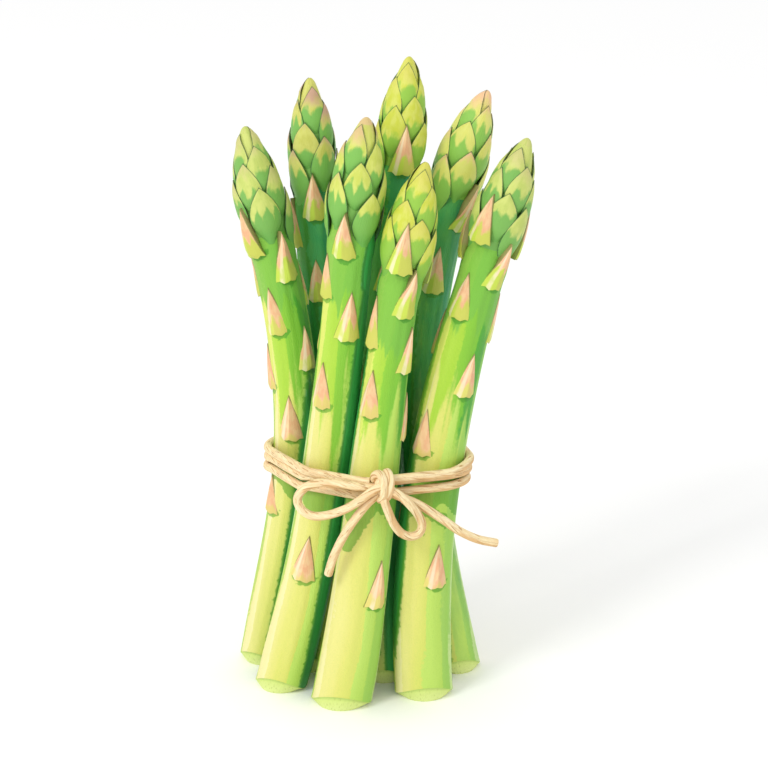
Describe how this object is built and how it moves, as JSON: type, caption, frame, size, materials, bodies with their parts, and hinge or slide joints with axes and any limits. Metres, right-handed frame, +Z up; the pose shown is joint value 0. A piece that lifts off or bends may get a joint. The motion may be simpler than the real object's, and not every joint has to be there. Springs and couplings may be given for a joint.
{
  "type": "bundle of asparagus",
  "caption": "Bundle of fresh green asparagus spears standing upright on trimmed butts, splayed at both ends and tied round the waist with a bow of natural twine",
  "frame": {"origin": "On the ground, under the middle of the bundle's bounding box", "axes": "+Z up along the spears, from the cut butts to the tips. The bow of the twine is on the front, -Y. +X is to the viewer's right when the bow faces the viewer"},
  "size_m": [0.1013, 0.0656, 0.222],
  "materials": {
    "asparagus": "fresh waxy skin, yellow-green with peach tipped scales",
    "twine": "matt natural fibre"
  },
  "bodies": {
    "root": {"spear_1": "asparagus", "spear_2": "asparagus", "spear_3": "asparagus", "spear_4": "asparagus", "spear_5": "asparagus", "spear_6": "asparagus", "spear_7": "asparagus", "twine": "twine"}
  },
  "joints": []
}
